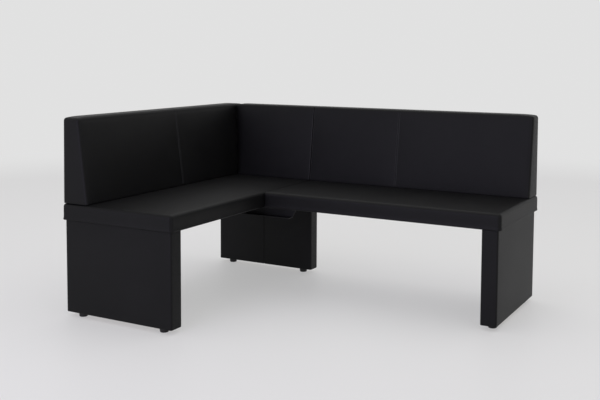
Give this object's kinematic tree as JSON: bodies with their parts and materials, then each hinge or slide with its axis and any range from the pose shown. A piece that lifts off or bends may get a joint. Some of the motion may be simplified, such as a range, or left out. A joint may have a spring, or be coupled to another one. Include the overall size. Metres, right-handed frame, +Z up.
{
  "type": "corner bench",
  "caption": "L-shaped upholstered corner bench in black faux leather: two slim padded seats with wedge backs on three padded slab legs, coupled under the joint.",
  "frame": {"origin": "on the floor, under the middle of the rectangle that the L-shaped bench fills", "axes": "+X along the long side towards its free end, +Y towards the wall behind the long side, +Z up"},
  "size_m": [1.67, 1.26, 0.842],
  "materials": {
    "black_leather": "satin, fine grain",
    "black_cloth": "matte woven",
    "foam": "matte",
    "wood": "raw",
    "black_steel": "black powder coat",
    "zinc_steel": "zinc plated",
    "foot_plastic": "moulded matte"
  },
  "bodies": {
    "bench": {"corner_back_boards": "wood", "corner_back_cover": "black_leather", "corner_back_foam": "foam", "corner_back_frame": "wood", "corner_back_irons": "black_steel", "corner_leg_cover": "black_leather", "corner_leg_frame": "wood", "corner_leg_panels": "wood", "corner_leg_wadding": "foam", "coupling_channel": "black_steel", "coupling_plate": "black_steel", "coupling_screws": "zinc_steel", "end_leg_cover": "black_leather", "end_leg_frame": "wood", "end_leg_panels": "wood", "end_leg_wadding": "foam", "foot_nuts": "zinc_steel", "front_leg_cover": "black_leather", "front_leg_frame": "wood", "front_leg_panels": "wood", "front_leg_wadding": "foam", "iron_bolts": "zinc_steel", "leg_bolts": "zinc_steel", "long_back_boards": "wood", "long_back_cover": "black_leather", "long_back_foam": "foam", "long_back_frame": "wood", "long_back_irons": "black_steel", "long_seat_boards": "wood", "long_seat_cover": "black_leather", "long_seat_dust_cloth": "black_cloth", "long_seat_foam": "foam", "long_seat_rails": "wood", "long_seat_webbing": "black_cloth", "short_seat_boards": "wood", "short_seat_cover": "black_leather", "short_seat_dust_cloth": "black_cloth", "short_seat_foam": "foam", "short_seat_rails": "wood", "short_seat_webbing": "black_cloth", "side_back_boards": "wood", "side_back_cover": "black_leather", "side_back_foam": "foam", "side_back_frame": "wood", "side_back_irons": "black_steel"},
    "front_leg_outer_screw_foot": {"front_leg_outer_foot": "foot_plastic", "front_leg_outer_stem": "zinc_steel"},
    "front_leg_inner_screw_foot": {"front_leg_inner_foot": "foot_plastic", "front_leg_inner_stem": "zinc_steel"},
    "corner_leg_outer_screw_foot": {"corner_leg_outer_foot": "foot_plastic", "corner_leg_outer_stem": "zinc_steel"},
    "corner_leg_inner_screw_foot": {"corner_leg_inner_foot": "foot_plastic", "corner_leg_inner_stem": "zinc_steel"},
    "end_leg_outer_screw_foot": {"end_leg_outer_foot": "foot_plastic", "end_leg_outer_stem": "zinc_steel"},
    "end_leg_inner_screw_foot": {"end_leg_inner_foot": "foot_plastic", "end_leg_inner_stem": "zinc_steel"}
  },
  "joints": [
    {"name": "front_leg_outer_foot_travel", "type": "slide", "parent": "bench", "child": "front_leg_outer_screw_foot", "axis": [0, 0, -1], "range_m": [0, 0.012]},
    {"name": "front_leg_inner_foot_travel", "type": "slide", "parent": "bench", "child": "front_leg_inner_screw_foot", "axis": [0, 0, -1], "range_m": [0, 0.012]},
    {"name": "corner_leg_outer_foot_travel", "type": "slide", "parent": "bench", "child": "corner_leg_outer_screw_foot", "axis": [0, 0, -1], "range_m": [0, 0.012]},
    {"name": "corner_leg_inner_foot_travel", "type": "slide", "parent": "bench", "child": "corner_leg_inner_screw_foot", "axis": [0, 0, -1], "range_m": [0, 0.012]},
    {"name": "end_leg_outer_foot_travel", "type": "slide", "parent": "bench", "child": "end_leg_outer_screw_foot", "axis": [0, 0, -1], "range_m": [0, 0.012]},
    {"name": "end_leg_inner_foot_travel", "type": "slide", "parent": "bench", "child": "end_leg_inner_screw_foot", "axis": [0, 0, -1], "range_m": [0, 0.012]}
  ]
}
